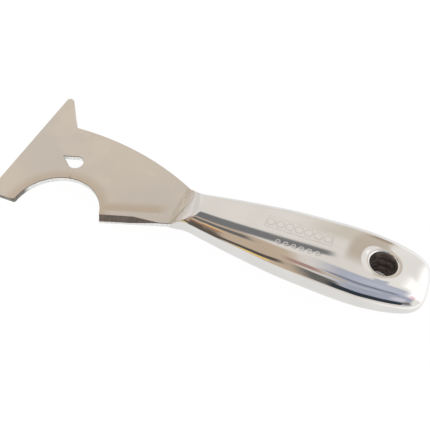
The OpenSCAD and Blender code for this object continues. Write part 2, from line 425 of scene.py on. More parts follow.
def stamp_line(x, y):
    """How deep the stamped pattern is at a point: a frame with a row of honeycomb cells."""
    x0, x1, y0, y1 = STAMP_BOX
    if not x0 - MM < x < x1 + MM or not STAMP_MARK_Y - 2 * MM < y < y1 + MM:
        return 0.0
    mid_x, mid_y = (x0 + x1) / 2, (y0 + y1) / 2
    reach = max(abs(x - mid_x) - (x1 - x0) / 2, abs(y - mid_y) - (y1 - y0) / 2)
    nearest = abs(reach)
    pitch = (x1 - x0) / STAMP_CELLS
    cell = math.floor((x - x0) / pitch)
    if 0 <= cell < STAMP_CELLS:
        centre = x0 + (cell + 0.5) * pitch
        nearest = min(nearest, hexagon_distance(x - centre, y - mid_y, STAMP_CELL_R))
    for i in range(STAMP_MARKS):
        mark = STAMP_MARK_X[0] + (STAMP_MARK_X[1] - STAMP_MARK_X[0]) * i / (STAMP_MARKS - 1)
        nearest = min(nearest, hexagon_distance(x - mark, y - STAMP_MARK_Y, STAMP_MARK_R))
    return 1 - smoothstep(STAMP_LINE * 0.4, STAMP_LINE * 1.4, nearest)


def places(start, end, step):
    """Evenly spaced places from a start up to an end, without the end."""
    count = max(1, round((end - start) / step))
    return [start + (end - start) * i / count for i in range(count)]


def skin_places():
    """Places along the handle at which the skin has a ring, closest where it is most worked."""
    hole = RING_HIGH.x + 2.4 * MM
    ramp_end = NECK_X + 20 * MM
    stamp_start, stamp_end = STAMP_BOX[0] - 1 * MM, STAMP_BOX[1] + 0.7 * MM
    line = places(NECK_X - 0.8 * MM, ramp_end, 0.3 * MM)
    line += places(ramp_end, stamp_start, 1 * MM)
    line += places(stamp_start, stamp_end, 0.28 * MM)
    line += places(stamp_end, -hole, 0.8 * MM)
    line += places(-hole, hole, 0.42 * MM)
    start, reach = butt_start(), butt_reach()
    first = math.asin(((hole - start) / reach) ** (BUTT_SQUARENESS / 2))
    line += [start + reach * math.sin(a) ** (2 / BUTT_SQUARENESS)
             for a in places(first, BUTT_SWEEP, math.radians(1.1))]
    return line + [BUTT_X]


SKIN_TURNS = 256


def handle_skin():
    """The whole outer skin of the handle, open at the neck."""
    bm = bmesh.new()
    crown_x = ramp_top()
    rings = [lambda place, x=x: carved_point(x, place, crown_x) for x in skin_places()]
    end = loft(bm, SKIN_TURNS, rings)
    cap = bmesh.ops.holes_fill(bm, edges=end, sides=0)["faces"]
    bmesh.ops.inset_region(bm, faces=cap, thickness=0.6 * MM)
    bmesh.ops.poke(bm, faces=cap)
    for face in bm.faces:
        face.smooth = True
    return outward(bm)


def outward(bm):
    """Turns the faces of an open skin round the length of the tool outwards."""
    bmesh.ops.recalc_face_normals(bm, faces=bm.faces)
    lean = sum(f.normal.dot(Vector((0, *f.calc_center_median().yz))) for f in bm.faces)
    if lean < 0:
        bmesh.ops.reverse_faces(bm, faces=bm.faces)
    return bm


def keep_band(bm, low, high):
    """Cuts a skin down to the part between two heights."""
    for level, normal in ((low, -1), (high, 1)):
        if level is None:
            continue
        everything = bm.verts[:] + bm.edges[:] + bm.faces[:]
        bmesh.ops.bisect_plane(bm, geom=everything, plane_co=(0, 0, level),
                               plane_no=(0, 0, normal), clear_outer=True)


def open_hang_hole(bm):
    """Takes out the skin over the hang hole, and draws its rim to a true circle."""
    radius = RING_HIGH.x
    gone = [f for f in bm.faces if math.hypot(*f.calc_center_median().xy) < radius]
    bmesh.ops.delete(bm, geom=gone, context="FACES")
    for vert in bm.verts:
        if vert.is_boundary and math.hypot(*vert.co.xy) < radius + MM:
            flat = vert.co.xy.normalized() * radius
            vert.co = Vector((*flat, face_height(*flat)))


def thicken(piece, depth):
    """Gives a skin its wall, on the inside."""
    wall = piece.modifiers.new("Wall", "SOLIDIFY")
    wall.thickness = depth
    wall.offset = -1
    wall.use_even_offset = False
    return piece


def mirrored(bm):
    """Turns a front piece into its rear twin."""
    bmesh.ops.scale(bm, vec=(1, 1, -1), verts=bm.verts)
    bmesh.ops.reverse_faces(bm, faces=bm.faces)
    return bm


# Outlines of the blade

def arc_points(centre, radius, start, end, steps):
    """Points on a round stretch, from one angle to another."""
    return [centre + radius * Vector((math.cos(a), math.sin(a)))
            for a in (start + (end - start) * i / steps for i in range(steps + 1))]


def angle_of(vector):
    return math.atan2(vector.y, vector.x)


def arc_centre(start, end, radius):
    """Centre of a curve that bulges to the left of the way from start to end."""
    way = end - start
    rise_h = math.sqrt(radius ** 2 - way.length_squared / 4)
    return (start + end) / 2 + rise_h * Vector((way.y, -way.x)).normalized()


def rounded_corner(before, corner, after, radius, steps):
    """Points that round off a corner."""
    to_before, to_after = (before - corner).normalized(), (after - corner).normalized()
    half = to_before.angle(to_after) / 2
    middle = corner + (to_before + to_after).normalized() * radius / math.sin(half)
    start = angle_of(corner + to_before * radius / math.tan(half) - middle)
    sweep = angle_of(corner + to_after * radius / math.tan(half) - middle) - start
    sweep = (sweep + math.pi) % math.tau - math.pi
    return arc_points(middle, radius, start, start + sweep, steps)


def blade_outline(blade):
    """Outline of the blade in plan, and the places that the ground strips need."""
    heel_y, tip_y = BLADE_LOW.y, BLADE_HIGH.y
    barb_corner = Vector((EDGE_X + blade.barb_l, blade.barb_y))
    shoulder_x = NECK_X + blade.shoulder_l
    neck_corner = Vector((shoulder_x, blade.neck_half))
    notch = Vector((EDGE_X + blade.notch_x, -blade.notch_y))
    turn = Vector((math.cos(blade.notch_end), math.sin(blade.notch_end)))
    flank_start = notch + blade.notch_r * turn
    lower_start = flank_start + blade.notch_flank * Vector((turn.y, -turn.x))
    lower_corner = Vector((shoulder_x, -blade.neck_half))
    tip = Vector((EDGE_X + blade.tip_r, tip_y - blade.tip_r))
    to_corner = barb_corner - tip
    tip_end = angle_of(to_corner) + math.acos(blade.tip_r / to_corner.length)
    spine = arc_centre(barb_corner, neck_corner, blade.spine_r)
    heel_turn = math.pi + math.asin((-heel_y - blade.notch_y) / blade.notch_r)
    heel_notch = notch + blade.notch_r * Vector((math.cos(heel_turn), math.sin(heel_turn)))
    step = blade.heel_r / blade.notch_r * 1.3
    past = notch + blade.notch_r * Vector((math.cos(heel_turn - step), math.sin(heel_turn - step)))
    heel = rounded_corner(Vector((EDGE_X, heel_y)), heel_notch, past, blade.heel_r, 6)
    after_heel = angle_of(heel[-1] - notch) % math.tau
    notch_arc = arc_points(notch, blade.notch_r, after_heel, blade.notch_end, 72)[1:]
    spine_arc = arc_points(spine, blade.spine_r, angle_of(barb_corner - spine),
                           angle_of(neck_corner - spine), 48)
    points = [Vector((EDGE_X, heel_y))]
    points += arc_points(tip, blade.tip_r, math.pi, tip_end, 10)
    points += spine_arc
    points += [Vector((shoulder_x, blade.tang_half)), Vector((TANG_X, blade.tang_half)),
               Vector((TANG_X, -blade.tang_half)), Vector((shoulder_x, -blade.tang_half)),
               lower_corner, lower_start]
    points += notch_arc[::-1] + heel[::-1]
    return points, barb_corner, lower_start, lower_corner, flank_start


def slot_outline(blade):
    """Outline of the nail slot in plan, round at one end and pointed at the other."""
    side = math.pi / 2 + blade.slot_angle
    points = [Vector((-blade.slot_r / math.sin(blade.slot_angle), 0))]
    points += arc_points(Vector((0, 0)), blade.slot_r, -side, side, 28)
    turn = Matrix.Rotation(-blade.slot_tilt, 2)
    centre = Vector((EDGE_X + blade.slot_x, blade.slot_y))
    return [centre + turn @ p for p in points]


def closed_line(bm, points):
    """A closed line of edges through points."""
    verts = [bmesh.ops.create_vert(bm, co=p)["vert"][0] for p in points]
    edges = []
    for first, second in zip(verts, verts[1:] + verts[:1]):
        edges += bmesh.ops.contextual_create(bm, geom=[first, second])["edges"]
    return edges


def solid_from_outline(points, low, high):
    """A flat plate with an outline, between two heights."""
    bm = bmesh.new()
    edges = closed_line(bm, [Vector((p.x, p.y, low)) for p in points])
    face = bmesh.ops.contextual_create(bm, geom=edges)["faces"]
    raised = bmesh.ops.extrude_face_region(bm, geom=face)["geom"]
    up = [g for g in raised if isinstance(g, bmesh.types.BMVert)]
    bmesh.ops.translate(bm, verts=up, vec=(0, 0, high - low))
    bmesh.ops.recalc_face_normals(bm, faces=bm.faces)
    return bm


def strip_cutter(start, end, width_start, width_end, slope, side):
    """A wedge that grinds a strip along an edge of the front face."""
    along = (end - start).normalized()
    out = Vector((along.y, -along.x)) * side
    inner_start = start - out * width_start
    inner_end = end - out * width_end
    reach = 6 * MM
    drop = math.tan(slope)
    across = (inner_end - inner_start).normalized()
    away = Vector((across.y, -across.x)) * side
    bm = bmesh.new()
    bmesh.ops.create_cube(bm, size=1)
    for vert in bm.verts:
        base = inner_start if vert.co.x < 0 else inner_end
        far = reach if vert.co.y * side < 0 else 0
        place = base + away * far
        if vert.co.z < 0:
            height = BLADE_HALF - drop * far
        else:
            height = BLADE_HALF + 3 * MM
        vert.co = Vector((*place, height))
    bmesh.ops.recalc_face_normals(bm, faces=bm.faces)
    return bm


def edge_cutter(blade):
    """A wedge that grinds the bevel behind the scraping edge."""
    past = 1 * MM
    lift = (2 * BLADE_HALF - blade.edge_land) * (1 + past / blade.bevel_l)
    bm = bmesh.new()
    bmesh.ops.create_cube(bm, size=1)
    for vert in bm.verts:
        outer = vert.co.x < 0
        x = EDGE_X - past if outer else EDGE_X + blade.bevel_l
        y = BLADE_LOW.y - past if vert.co.y < 0 else BLADE_HIGH.y + past
        top = -BLADE_HALF + (lift if outer else 0)
        vert.co = Vector((x, y, top if vert.co.z > 0 else -2 * BLADE_HALF))
    bmesh.ops.recalc_face_normals(bm, faces=bm.faces)
    return bm


def temporary(bm):
    """A short-lived object of a mesh."""
    mesh = bpy.data.meshes.new("tool")
    bm.to_mesh(mesh)
    bm.free()
    cutter = bpy.data.objects.new("tool", mesh)
    bpy.context.scene.collection.objects.link(cutter)
    return cutter


def cut_away(bm, cutters):
    """Cuts the meshes of the cutters out of a mesh."""
    work = temporary(bm)
    tools = [temporary(c) for c in cutters]
    for tool in tools:
        cut = work.modifiers.new("Cut", "BOOLEAN")
        cut.operation = "DIFFERENCE"
        cut.solver = "EXACT"
        cut.object = tool
    evaluated = work.evaluated_get(bpy.context.evaluated_depsgraph_get())
    result = bmesh.new()
    result.from_mesh(evaluated.to_mesh())
    evaluated.to_mesh_clear()
    for old in [work, *tools]:
        mesh = old.data
        bpy.data.objects.remove(old)
        bpy.data.meshes.remove(mesh)
    return result


# Finishes

class Nodes:
    """Builds the nodes of one node tree."""

    def __init__(self, owner, output, place):
        owner.use_nodes = True
        self.tree = owner.node_tree
        self.tree.nodes.clear()
        self.output = self.tree.nodes.new(output)
        self.place = self.tree.nodes.new("ShaderNodeTexCoord").outputs[place]

    def link(self, value, socket):
        if isinstance(value, bpy.types.NodeSocket):
            self.tree.links.new(value, socket)
        elif isinstance(value, (tuple, list)) and len(value) == 3 and socket.type == "RGBA":
            socket.default_value = (*value, 1)
        else:
            socket.default_value = value

    def math(self, kind, *values, clamp=False):
        node = self.tree.nodes.new("ShaderNodeMath")
        node.operation = kind
        node.use_clamp = clamp
        for value, socket in zip(values, node.inputs):
            self.link(value, socket)
        return node.outputs[0]

    def away(self, x, y, middle_x=0.0, middle_y=0.0):
        """Distance in plan from a point."""
        run_x = self.math("SUBTRACT", x, middle_x)
        run_y = self.math("SUBTRACT", y, middle_y)
        return self.math("SQRT", self.math("ADD", self.math("MULTIPLY", run_x, run_x),
                                           self.math("MULTIPLY", run_y, run_y)))

    def beyond(self, value, middle, half):
        """How far a value lies outside a span, less than nothing inside it."""
        return self.math("SUBTRACT", self.math("ABSOLUTE", self.math("SUBTRACT", value, middle)), half)

    def split(self, vector):
        node = self.tree.nodes.new("ShaderNodeSeparateXYZ")
        self.link(vector, node.inputs[0])
        return node.outputs

    def turned(self, vector, scale, rotation=(0, 0, 0), shift=(0, 0, 0)):
        node = self.tree.nodes.new("ShaderNodeMapping")
        node.vector_type = "POINT"
        self.link(vector, node.inputs["Vector"])
        node.inputs["Location"].default_value = shift
        node.inputs["Rotation"].default_value = rotation
        node.inputs["Scale"].default_value = scale
        return node.outputs[0]

    def noise(self, vector, scale, detail=3.0, roughness=0.5, distortion=0.0):
        node = self.tree.nodes.new("ShaderNodeTexNoise")
        self.link(vector, node.inputs["Vector"])
        node.inputs["Scale"].default_value = scale
        node.inputs["Detail"].default_value = detail
        node.inputs["Roughness"].default_value = roughness
        node.inputs["Distortion"].default_value = distortion
        return node.outputs["Fac"]

    def spread(self, value, low, high, to_low=0.0, to_high=1.0, kind="SMOOTHSTEP"):
        node = self.tree.nodes.new("ShaderNodeMapRange")
        node.interpolation_type = kind
        for name, item in (("Value", value), ("From Min", low), ("From Max", high),
                           ("To Min", to_low), ("To Max", to_high)):
            self.link(item, node.inputs[name])
        return node.outputs[0]

    def mix(self, factor, a, b):
        node = self.tree.nodes.new("ShaderNodeMix")
        node.data_type = "RGBA"
        self.link(factor, node.inputs["Factor"])
        self.link(a, node.inputs[6])
        self.link(b, node.inputs[7])
        return node.outputs[2]

    def bump(self, height, strength, distance, normal=None):
        node = self.tree.nodes.new("ShaderNodeBump")
        node.inputs["Strength"].default_value = strength
        node.inputs["Distance"].default_value = distance
        self.link(height, node.inputs["Height"])
        if normal is not None:
            self.link(normal, node.inputs["Normal"])
        return node.outputs[0]


class Finish(Nodes):
    """Builds the nodes of one material."""

    def __init__(self, name):
        self.material = bpy.data.materials.new(name)
        super().__init__(self.material, "ShaderNodeOutputMaterial", "Object")

    def metal(self, base, roughness, normal, bare=1.0):
        """Ends the material as metal, with the share of the surface that is bare metal."""
        shader = self.tree.nodes.new("ShaderNodeBsdfPrincipled")
        self.link(bare, shader.inputs["Metallic"])
        self.link(base, shader.inputs["Base Color"])
        self.link(roughness, shader.inputs["Roughness"])
        self.link(normal, shader.inputs["Normal"])
        self.tree.links.new(shader.outputs[0], self.output.inputs["Surface"])
        return self.material


def shaded(values, factor):
    """A colour made darker or lighter."""
    return tuple(min(1.0, v * factor) for v in values)


def ground_mask(finish):
    """Where the handle is ground flush on the ramps, by its place."""
    x, _, z = finish.split(finish.place)
    height = finish.math("ABSOLUTE", z)
    slope = math.tan(sizes("hive_handle").ramp_angle)
    run = finish.math("MULTIPLY", finish.math("SUBTRACT", x, NECK_X), slope)
    above = finish.math("SUBTRACT", finish.math("SUBTRACT", height, BLADE_HALF), run)
    return finish.spread(above, -0.26 * MM, -0.08 * MM)


def ground_look(finish):
    """Colour, roughness and height of ground weld: streaks that run down the ramp's slant."""
    colours = sizes("hive_finish")
    wander = finish.turned(finish.place, (1, 1, 1), rotation=(0, 0, math.radians(-17)))
    streaks = finish.noise(finish.turned(wander, (900, 95, 500)), 1.0, 5, 0.62, 0.25)
    broad = finish.noise(finish.turned(wander, (330, 36, 180), shift=(3, 1, 2)), 1.0, 2, 0.5, 0.4)
    x, y, _ = finish.split(finish.place)
    climb = finish.spread(x, NECK_X + 1 * MM, NECK_X + 6.5 * MM)
    tone = finish.mix(climb, tuple(colours.blade), tuple(colours.weld))
    shade = finish.mix(climb, shaded(colours.blade, 0.82), shaded(colours.weld, 0.80))
    base = finish.mix(finish.spread(broad, 0.40, 0.62, 0.75, 0), tone, shade)
    base = finish.mix(finish.spread(streaks, 0.34, 0.52, 0.65, 0), base, shade)
    # A darker line across the ramp near its foot, stronger on the lower side
    slant = finish.math("ADD", x, finish.math("MULTIPLY", y, -0.3))
    foot = finish.math("ABSOLUTE", finish.math("SUBTRACT", slant, NECK_X + 3.2 * MM))
    foot_line = finish.math("MULTIPLY", finish.spread(foot, 0.15 * MM, 0.9 * MM, 0.45, 0),
                          finish.spread(y, -3 * MM, 2 * MM, 1, 0.25))
    base = finish.mix(foot_line, base, shaded(colours.blade, 0.35))
    rough = finish.spread(streaks, 0.3, 0.7, 0.30, 0.50)
    return base, rough, streaks


def hexagon_row(finish, x, y, first, last, count, middle, radius, stroke):
    """Mask of a row of hexagon outlines on the front face."""
    pitch = (last - first) / count
    share_x = finish.math("DIVIDE", finish.math("SUBTRACT", x, first), pitch)
    across = finish.math("MULTIPLY", finish.math("SUBTRACT", finish.math("FRACT", share_x), 0.5), pitch)
    above = finish.math("SUBTRACT", y, middle)
    reach = finish.math("ABSOLUTE", above)
    for turn in (math.radians(30), math.radians(150)):
        side = finish.math("ADD", finish.math("MULTIPLY", across, math.cos(turn)),
                           finish.math("MULTIPLY", above, math.sin(turn)))
        reach = finish.math("MAXIMUM", reach, finish.math("ABSOLUTE", side))
    off = finish.math("ABSOLUTE", finish.math("SUBTRACT", reach, radius))
    line = finish.spread(off, stroke * 0.6, stroke * 1.2, 1, 0)
    inside = finish.math("MULTIPLY", finish.math("GREATER_THAN", x, first),
                         finish.math("LESS_THAN", x, last))
    return finish.math("MULTIPLY", line, inside)


def stamp_mask(finish):
    """Where the stamped frame and its honeycomb cells leave the polish matt."""
    x, y, z = finish.split(finish.place)
    x0, x1, y0, y1 = STAMP_BOX
    mid_x, mid_y = (x0 + x1) / 2, (y0 + y1) / 2
    over_x = finish.beyond(x, mid_x, (x1 - x0) / 2)
    over_y = finish.beyond(y, mid_y, (y1 - y0) / 2)
    reach = finish.math("ABSOLUTE", finish.math("MAXIMUM", over_x, over_y))
    border = finish.spread(reach, STAMP_LINE * 0.6, STAMP_LINE * 1.2, 1, 0)
    cells = hexagon_row(finish, x, y, x0, x1, STAMP_CELLS, mid_y, STAMP_CELL_R, 0.45 * MM)
    half = (STAMP_MARK_X[1] - STAMP_MARK_X[0]) / (STAMP_MARKS - 1) / 2
    marks = hexagon_row(finish, x, y, STAMP_MARK_X[0] - half, STAMP_MARK_X[1] + half, STAMP_MARKS,
                        STAMP_MARK_Y, STAMP_MARK_R, 0.25 * MM)
    every = finish.math("MAXIMUM", border, finish.math("MAXIMUM", cells, marks))
    return finish.math("MULTIPLY", every, finish.math("GREATER_THAN", z, 0.0))


def polished_steel():
    """Mirror-polished stainless steel, with the ground finish where the ramps cut it."""
    colours = sizes("hive_finish")
    finish = Finish("Polished steel")
    cloud = finish.noise(finish.place, 55, 2, 0.5)
    lines = finish.noise(finish.turned(finish.place, (90, 2600, 2600)), 1.0, 4, 0.6)
    marks = finish.noise(finish.turned(finish.place, (700, 160, 160), rotation=(0, 0, 0.6)), 1.0, 3, 0.7)
    base = finish.mix(finish.spread(cloud, 0.35, 0.65), shaded(colours.polished, 0.955),
                      tuple(colours.polished))
    rough = finish.math("ADD", finish.spread(cloud, 0.3, 0.7, 0.055, 0.095, "LINEAR"),
                        finish.spread(marks, 0.62, 0.78, 0.0, 0.06))
    stamped = stamp_mask(finish)
    base = finish.mix(finish.math("MULTIPLY", stamped, 0.6), base, shaded(colours.polished, 0.93))
    rough = finish.math("ADD", rough, finish.math("MULTIPLY", stamped, 0.3))
    ground, ground_rough, streaks = ground_look(finish)
    mask = ground_mask(finish)
    base = finish.mix(mask, base, ground)
    rough = finish.math("ADD", finish.math("MULTIPLY", rough, finish.math("SUBTRACT", 1.0, mask)),
                        finish.math("MULTIPLY", ground_rough, mask))
    swell = finish.bump(cloud, 0.12, 0.25 * MM)
    fine = finish.bump(lines, 0.10, 0.01 * MM, swell)
    worked = finish.bump(finish.math("MULTIPLY", streaks, mask), 0.7, 0.12 * MM, fine)
    return finish.metal(base, rough, worked)


def ground_weld():
    """Ground weld metal on the ramps, with small pits."""
    finish = Finish("Ground weld")
    base, rough, streaks = ground_look(finish)
    pits = finish.noise(finish.place, 620, 2, 0.5)
    pit = finish.spread(pits, 0.735, 0.765)
    base = finish.mix(pit, base, (0.10, 0.08, 0.065))
    worked = finish.bump(streaks, 0.7, 0.12 * MM)
    return finish.metal(base, rough, finish.bump(finish.math("SUBTRACT", 1.0, pit), 0.5, 0.1 * MM, worked))


def satin_steel():
    """Satin blade steel with rolling shades, a tan painted reflection by the notch and the lower edge, and
    a ground strip darkened by a painted reflection.
    """
    colours = sizes("hive_finish")
    blade = sizes("hive_blade")
    _, _, lower_start, lower_corner, flank = blade_outline(blade)
    finish = Finish("Satin steel")
    x, y, z = finish.split(finish.place)
    cloud = finish.noise(finish.turned(finish.place, (16, 24, 24), rotation=(0, 0, 0.5)), 1.0, 3, 0.45)
    patch = finish.noise(finish.turned(finish.place, (38, 52, 40), shift=(5, 2, 0)), 1.0, 2, 0.4, 0.5)
    grain = finish.noise(finish.turned(finish.place, (2600, 130, 900), rotation=(0, 0, 0.12)), 1.0, 4, 0.6)
    fine = finish.noise(finish.place, 2600, 2, 0.5)
    base = finish.mix(finish.spread(cloud, 0.36, 0.62), tuple(colours.blade_grey), tuple(colours.blade))
    base = finish.mix(finish.spread(patch, 0.5, 0.62, 0, 0.35), base, shaded(colours.blade, 1.08))
    # Tan painted reflection in a ring round the notch and in a band along the lower edge
    reach = finish.away(x, y, EDGE_X + blade.notch_x, -blade.notch_y)
    ring = finish.spread(finish.math("SUBTRACT", reach, blade.notch_r), 1 * MM, 7 * MM, 0.75, 0)
    way = (lower_corner - lower_start).normalized()
    level = finish.math("SUBTRACT",
                        finish.math("SUBTRACT", finish.math("MULTIPLY", y, way.x),
                                    finish.math("MULTIPLY", x, way.y)),
                        lower_start.y * way.x - lower_start.x * way.y)
    rise_in = finish.spread(level, 5.2 * MM, 6.6 * MM)
    fall_off = finish.spread(level, 8.0 * MM, 12.5 * MM, 1, 0)
    right = finish.spread(x, flank.x - 4 * MM, flank.x + 2 * MM)
    ends = finish.spread(x, NECK_X - 10 * MM, NECK_X - 3 * MM, 1, 0)
    band = finish.math("MULTIPLY", finish.math("MULTIPLY", rise_in, fall_off),
                       finish.math("MULTIPLY", right, ends))
    tint = finish.math("MAXIMUM", ring, finish.math("MULTIPLY", band, 0.9))
    base = finish.mix(tint, base, tuple(colours.reflection_tan))
    # Coarse ground strip along the lower edge of the front face, its dark colour a painted reflection
    ground_facet = finish.math("MULTIPLY", finish.spread(level, 3.1 * MM, 3.5 * MM, 1, 0),
                       finish.spread(z, BLADE_HALF - 0.06 * MM, BLADE_HALF - 0.02 * MM, 1, 0))
    front = finish.math("MULTIPLY", ground_facet, finish.spread(z, 0, 0.2 * MM))
    right_of = finish.spread(x, flank.x - 0.5 * MM, flank.x)
    strip = finish.math("MULTIPLY", front, right_of)
    strip_reflection_dark = finish.mix(finish.spread(grain, 0.35, 0.65), shaded(colours.strip, 0.8),
                      shaded(colours.strip, 1.25))
    base = finish.mix(strip, base, strip_reflection_dark)
    base = finish.mix(finish.spread(fine, 0.3, 0.7, 0, 0.10), base, shaded(colours.blade_grey, 0.8))
    rough = finish.math("ADD", finish.spread(grain, 0.3, 0.7, 0.27, 0.37, "LINEAR"),
                        finish.math("MULTIPLY", strip, 0.12))
    worked = finish.bump(grain, 0.35, 0.02 * MM)
    return finish.metal(base, rough, finish.bump(fine, 0.12, 0.02 * MM, worked))


def sheared_edge():
    """Walls of the blade: pale as a painted highlight, with a painted shade rim under the rolled edges,
    and dusky on the heel.
    """
    colours = sizes("hive_finish")
    blade = sizes("hive_blade")
    finish = Finish("Sheared edge")
    x, y, z = finish.split(finish.place)
    heel_x = EDGE_X + blade.notch_x - blade.notch_r * 0.97
    heel = finish.math("MULTIPLY", finish.spread(x, heel_x, heel_x + 1.5 * MM, 1, 0),
                       finish.spread(y, -3 * MM, -2 * MM, 1, 0))
    bright = finish.math("SUBTRACT", 1.0, heel)
    streaks = finish.noise(finish.turned(finish.place, (1500, 1500, 120)), 1.0, 3, 0.6)
    light = finish.spread(streaks, 0.35, 0.65)
    # Painted highlight: the walls are paler than the faces
    pale = finish.mix(light, shaded(colours.weld, 0.85), shaded(colours.weld, 1.1))
    dusky = finish.mix(light, shaded(colours.strip, 0.7), shaded(colours.strip, 1.3))
    base = finish.mix(bright, dusky, pale)
    # Painted shade: a dark rim on the walls just below the rolled edges
    rim = finish.spread(finish.math("ABSOLUTE", z), BLADE_HALF - 0.36 * MM, BLADE_HALF - 0.22 * MM)
    base = finish.mix(finish.math("MULTIPLY", rim, 0.85), base, shaded(colours.strip, 0.5))
    rough = finish.spread(streaks, 0.3, 0.7, 0.18, 0.34, "LINEAR")
    return finish.metal(base, rough, finish.bump(streaks, 0.3, 0.02 * MM))


def shaded_bore_steel():
    """Sleeve steel: polished on its lip, and rougher inside the bore with a dark brown painted shade."""
    colours = sizes("hive_finish")
    hole = sizes("hive_hole")
    finish = Finish("Sleeve steel")
    height = finish.math("ABSOLUTE", finish.split(finish.place)[2])
    inside = finish.spread(height, SLEEVE_HIGH.z - hole.lip_r * 0.75,
                           SLEEVE_HIGH.z - hole.lip_r * 0.2, 1, 0)
    smear = finish.noise(finish.turned(finish.place, (260, 260, 700)), 1.0, 4, 0.6, 0.6)
    # Painted shade: dark brown inside the bore, mottled by the smear noise
    dark = finish.mix(finish.spread(smear, 0.38, 0.68), shaded(colours.bore, 0.5),
                      shaded(colours.bore, 2.2))
    base = finish.mix(inside, tuple(colours.polished), dark)
    dull = finish.spread(smear, 0.3, 0.7, 0.2, 0.35)
    rough = finish.math("ADD", 0.09, finish.math("MULTIPLY", inside, dull))
    bare = finish.spread(inside, 0, 1, 1, 0.25)
    return finish.metal(base, rough, finish.bump(smear, 0.2, 0.05 * MM), bare)


# Operators

class HIVE_OT_blade(bpy.types.Operator):
    """Make the ground blade with its notch, barb and nail slot"""

    bl_idname = "hive.blade"
    bl_label = "Blade"

    def execute(self, context):
        blade = sizes("hive_blade")
        outline, barb_corner, lower_start, lower_corner, _ = blade_outline(blade)
        plate = solid_from_outline(outline, -BLADE_HALF, BLADE_HALF)
        slot = solid_from_outline(slot_outline(blade), -2 * BLADE_HALF, 2 * BLADE_HALF)
        tip = Vector((EDGE_X + blade.tip_r, BLADE_HIGH.y - blade.tip_r))
        along = (barb_corner - tip).normalized()
        back = tip - along * 5 * MM + Vector((-along.y, along.x)) * blade.tip_r
        widths = blade.barb_strip
        barb = strip_cutter(back, barb_corner, widths * 1.22, 0, blade.strip_angle, -1)
        way = (lower_corner - lower_start).normalized()
        middle = lower_start + way * 16 * MM
        last = lower_start + way * 30 * MM
        strip = strip_cutter(lower_start - way * 1.5 * MM, middle, blade.lower_strip,
                             blade.lower_strip * 0.93, blade.strip_angle, 1)
        runout = strip_cutter(middle, last, blade.lower_strip * 0.93, 0, blade.strip_angle, 1)
        bm = cut_away(plate, [slot, barb, strip, runout, edge_cutter(blade)])
        bmesh.ops.remove_doubles(bm, verts=bm.verts, dist=0.12 * MM)
        bmesh.ops.dissolve_degenerate(bm, edges=bm.edges, dist=0.05 * MM)
        sharp = [e for e in bm.edges
                 if len(e.link_faces) == 2 and e.calc_face_angle(0) > math.radians(50)
                 and max(abs(f.normal.z) for f in e.link_faces) > 0.5
                 and min(v.co.x for v in e.verts) > EDGE_X + 0.05 * MM]
        bmesh.ops.bevel(bm, geom=sharp, offset=blade.rolled, offset_type="OFFSET", segments=3,
                        profile=0.5, affect="EDGES", clamp_overlap=False, material=-1)
        for face in bm.faces:
            face.smooth = face.calc_area() < 40 * MM * MM
            face.material_index = 1 if abs(face.normal.z) < 0.75 else 0
        finish_piece("steel_blade", bm, [satin_steel(), sheared_edge()], ["blade"])
        return {"FINISHED"}


class HIVE_OT_shells(bpy.types.Operator):
    """Make the front and rear shells of the handle"""

    bl_idname = "hive.shells"
    bl_label = "Handle shells"

    def execute(self, context):
        steel = polished_steel()
        skin = handle_skin()
        front = skin.copy()
        keep_band(front, SEAM_HALF, None)
        open_hang_hole(front)
        shell = finish_piece("front_handle_shell", front, [steel], ["front_shell"])
        thicken(shell, sizes("hive_handle").wall)
        keep_band(skin, None, -SEAM_HALF)
        bmesh.ops.scale(skin, vec=(1, 1, -1), verts=skin.verts)
        bmesh.ops.reverse_faces(skin, faces=skin.faces)
        open_hang_hole(skin)
        shell = finish_piece("rear_handle_shell", mirrored(skin), [steel], ["rear_shell"])
        thicken(shell, sizes("hive_handle").wall)
        return {"FINISHED"}


class HIVE_OT_seam(bpy.types.Operator):
    """Make the polished weld that joins the shells all the way round"""

    bl_idname = "hive.seam"
    bl_label = "Seam weld"

    def execute(self, context):
        skin = handle_skin()
        keep_band(skin, -SEAM_HALF, SEAM_HALF)
        seam = finish_piece("handle_seam", skin, [bpy.data.materials["Polished steel"]],
                            ["seam_weld"])
        thicken(seam, SEAM_HALF)
        return {"FINISHED"}


def neck_weld_mesh():
    """Weld under one ramp: a ground face that follows the handle's sides, down to the blade."""
    bm = bmesh.new()
    foot, top = NECK_X - 1.6 * MM, ramp_top() - 2.4 * MM
    steps = 64
    grid = bmesh.ops.create_grid(bm, x_segments=steps, y_segments=steps, size=1)["verts"]
    proud = 0.012 * MM
    for vert in grid:
        u, v = (vert.co.x + 1) / 2, vert.co.y
        x = foot + (top - foot) * u
        z = ramp_height(x)
        side = half_width_at(max(x, NECK_X), z) * 0.999
        vert.co = Vector((x, v * side, z + proud))
    rim = [e for e in bm.edges if e.is_boundary]
    made = bmesh.ops.extrude_edge_only(bm, edges=rim)["geom"]
    for vert in (g for g in made if isinstance(g, bmesh.types.BMVert)):
        vert.co.z = BLADE_HALF - 0.05 * MM
    lower = [g for g in made if isinstance(g, bmesh.types.BMEdge)]
    bmesh.ops.holes_fill(bm, edges=lower, sides=0)
    for face in bm.faces:
        face.smooth = True
    bmesh.ops.recalc_face_normals(bm, faces=bm.faces)
    return bm


class HIVE_OT_neck_welds(bpy.types.Operator):
    """Make the ground welds that close the mouths of the shells on the blade"""

    bl_idname = "hive.neck_welds"
    bl_label = "Neck welds"

    def execute(self, context):
        steel = ground_weld()
        finish_piece("front_ramp_weld", neck_weld_mesh(), [steel],
                     ["neck_weld_front"])
        finish_piece("rear_ramp_weld", mirrored(neck_weld_mesh()), [steel],
                     ["neck_weld_rear"])
        return {"FINISHED"}


